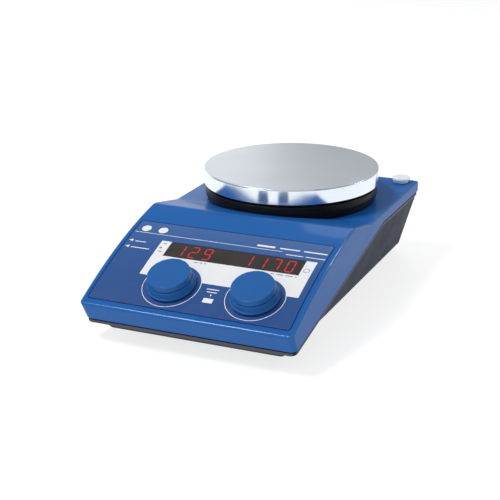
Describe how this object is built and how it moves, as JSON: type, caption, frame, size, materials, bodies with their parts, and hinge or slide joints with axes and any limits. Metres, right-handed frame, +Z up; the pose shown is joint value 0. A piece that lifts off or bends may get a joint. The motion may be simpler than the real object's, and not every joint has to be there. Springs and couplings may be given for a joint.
{
  "type": "hot-plate magnetic stirrer",
  "caption": "Hot-plate magnetic stirrer: round heated plate on a wedge-shaped housing, with a display and rotary push knobs on a sloping panel.",
  "frame": {"origin": "on the table under the middle of the object", "axes": "+Z up, +Y from the panel to the rear, +X to the right of a person facing the panel"},
  "size_m": [0.1602, 0.27, 0.085],
  "materials": {
    "blue_paint": "satin blue paint on a cast aluminium shell",
    "knob_blue": "satin moulded",
    "dark_body": "fine-textured",
    "black_plastic": "satin",
    "skirt_black": "satin",
    "rubber": "matte",
    "label_foil": "printed, fine-textured",
    "smoked_window": "gloss",
    "red_display": "gloss",
    "plate_alloy": "satin top, polished rim",
    "steel": "satin",
    "brass": "satin",
    "ceramic_fibre": "matte",
    "circuit_board": "solder-mask",
    "ribbon": "matte",
    "cap_plastic": "satin",
    "magnet": "satin",
    "winding": "satin"
  },
  "bodies": {
    "base": {"bottom_housing": "dark_body", "carrier_plate": "steel", "control_board": "circuit_board", "display_window": "smoked_window", "earth_pin": "brass", "front_foil": "label_foil", "heating_element": "steel", "hotplate": "plate_alloy", "housing_screw_1": "steel", "housing_screw_2": "steel", "housing_screw_3": "steel", "housing_screw_4": "steel", "insulation_disc": "ceramic_fibre", "limit_potentiometer": "black_plastic", "live_pin": "brass", "lower_bearing": "steel", "mains_inlet": "black_plastic", "motor_can": "steel", "motor_stator": "winding", "neutral_pin": "brass", "plate_sensor": "steel", "plate_skirt": "skirt_black", "plate_standoff_1": "steel", "plate_standoff_2": "steel", "plate_standoff_3": "steel", "power_board": "circuit_board", "power_transformer": "black_plastic", "ribbon_cable": "ribbon", "rocker_frame": "black_plastic", "rod_bush": "steel", "rubber_foot_1": "rubber", "rubber_foot_2": "rubber", "rubber_foot_3": "rubber", "rubber_foot_4": "rubber", "seam_gasket": "rubber", "sensor_socket": "black_plastic", "speed_display": "red_display", "speed_encoder": "steel", "temperature_display": "red_display", "temperature_encoder": "steel", "top_housing": "blue_paint", "upper_bearing": "steel"},
    "temperature_plunger": {"temperature_push_slide": "black_plastic"},
    "temperature_dial": {"temperature_knob_shaft": "steel", "temperature_knob": "knob_blue", "temperature_knob_skirt": "knob_blue"},
    "speed_plunger": {"speed_push_slide": "black_plastic"},
    "speed_dial": {"speed_knob_shaft": "steel", "speed_knob": "knob_blue", "speed_knob_skirt": "knob_blue"},
    "rocker": {"mains_rocker": "black_plastic"},
    "limit_adjuster": {"limit_screw": "brass"},
    "stirring_rotor": {"motor_rotor": "magnet", "motor_shaft": "steel", "magnet_holder": "steel", "north_magnet": "magnet", "south_magnet": "magnet"},
    "rod_cap": {"rod_hole_cap": "cap_plastic"},
    "fuse_carrier": {"fuse_drawer": "black_plastic", "fuse": "steel"}
  },
  "joints": [
    {"name": "temperature_push", "type": "slide", "parent": "base", "child": "temperature_plunger", "axis": [0, 0.3939, -0.9192], "range_m": [0, 0.0005], "stiffness_N_per_m": 2000, "springref_m": -0.0008},
    {"name": "temperature_turn", "type": "hinge", "parent": "temperature_plunger", "child": "temperature_dial", "pos_m": [-0.0204, -0.109, 0.04111], "axis": [0, -0.3939, 0.9192], "continuous": true},
    {"name": "speed_push", "type": "slide", "parent": "base", "child": "speed_plunger", "axis": [0, 0.3939, -0.9192], "range_m": [0, 0.0005], "stiffness_N_per_m": 2000, "springref_m": -0.0008},
    {"name": "speed_turn", "type": "hinge", "parent": "speed_plunger", "child": "speed_dial", "pos_m": [0.0418, -0.109, 0.04111], "axis": [0, -0.3939, 0.9192], "continuous": true},
    {"name": "mains_switch", "type": "hinge", "parent": "base", "child": "rocker", "pos_m": [-0.07636, -0.063, 0.04208], "axis": [-0.0262, 0, 0.9997], "range_deg": [-12, 0]},
    {"name": "limit_turn", "type": "hinge", "parent": "base", "child": "limit_adjuster", "pos_m": [-0.0792, -0.089, 0.036], "axis": [-0.9997, 0, -0.0262], "range_deg": [-135, 135]},
    {"name": "rotor_spin", "type": "hinge", "parent": "base", "child": "stirring_rotor", "pos_m": [0, 0.0562, 0.03], "axis": [0, 0, 1], "continuous": true},
    {"name": "rod_cap_pull", "type": "slide", "parent": "base", "child": "rod_cap", "axis": [0, 0, 1], "range_m": [0, 0.009]},
    {"name": "fuse_pull", "type": "slide", "parent": "base", "child": "fuse_carrier", "axis": [0, 1, 0], "range_m": [0, 0.018]}
  ]
}
